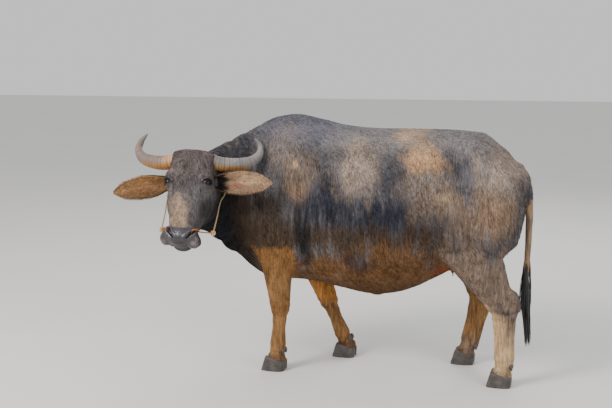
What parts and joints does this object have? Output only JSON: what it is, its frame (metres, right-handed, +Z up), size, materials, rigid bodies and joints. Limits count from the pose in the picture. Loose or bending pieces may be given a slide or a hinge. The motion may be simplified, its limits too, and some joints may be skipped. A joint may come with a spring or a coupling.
{
  "type": "water buffalo",
  "caption": "Life-size still model of a standing water buffalo cow with her head turned to her left, curved horns, drooping tail and a thin rope through the nose and behind the horns.",
  "frame": {"origin": "centre of the whole animal's bounding box at ground level", "axes": "+Z up, -X the way the body faces, -Y the animal's left side"},
  "size_m": [2.0132, 0.9536, 1.2788],
  "materials": {
    "hide": "dusty slate-brown hide with sparse hair, roughness 0.85",
    "leg": "tan hide of the lower legs, roughness 0.88",
    "switch": "coarse black tail hair",
    "udder": "bare pinkish skin",
    "ear": "peach and tan ear hair over hide",
    "eye": "wet black eye",
    "horn": "grey-cream ridged horn",
    "hoof": "dark hoof horn",
    "rope": "thin twisted rope"
  },
  "bodies": {
    "root": {"torso": "hide", "neck": "hide", "head": "hide", "foreleg_left": "leg", "foreleg_right": "leg", "hindleg_left": "leg", "hindleg_right": "leg", "eye_left": "eye", "horn_left": "horn", "ear_left": "ear", "eye_right": "eye", "horn_right": "horn", "ear_right": "ear", "claw_foreleg_left_inner": "hoof", "dewclaw_foreleg_left_inner": "hoof", "claw_foreleg_left_outer": "hoof", "dewclaw_foreleg_left_outer": "hoof", "claw_foreleg_right_inner": "hoof", "dewclaw_foreleg_right_inner": "hoof", "claw_foreleg_right_outer": "hoof", "dewclaw_foreleg_right_outer": "hoof", "claw_hindleg_left_inner": "hoof", "dewclaw_hindleg_left_inner": "hoof", "claw_hindleg_left_outer": "hoof", "dewclaw_hindleg_left_outer": "hoof", "claw_hindleg_right_inner": "hoof", "dewclaw_hindleg_right_inner": "hoof", "claw_hindleg_right_outer": "hoof", "dewclaw_hindleg_right_outer": "hoof", "tail_root": "hide", "tail_shaft": "hide", "tail_switch": "switch", "udder": "udder", "rope_knot_left": "rope", "nose_rope_left": "rope", "rope_knot_right": "rope", "nose_rope_right": "rope", "head_rope": "rope"}
  },
  "joints": []
}
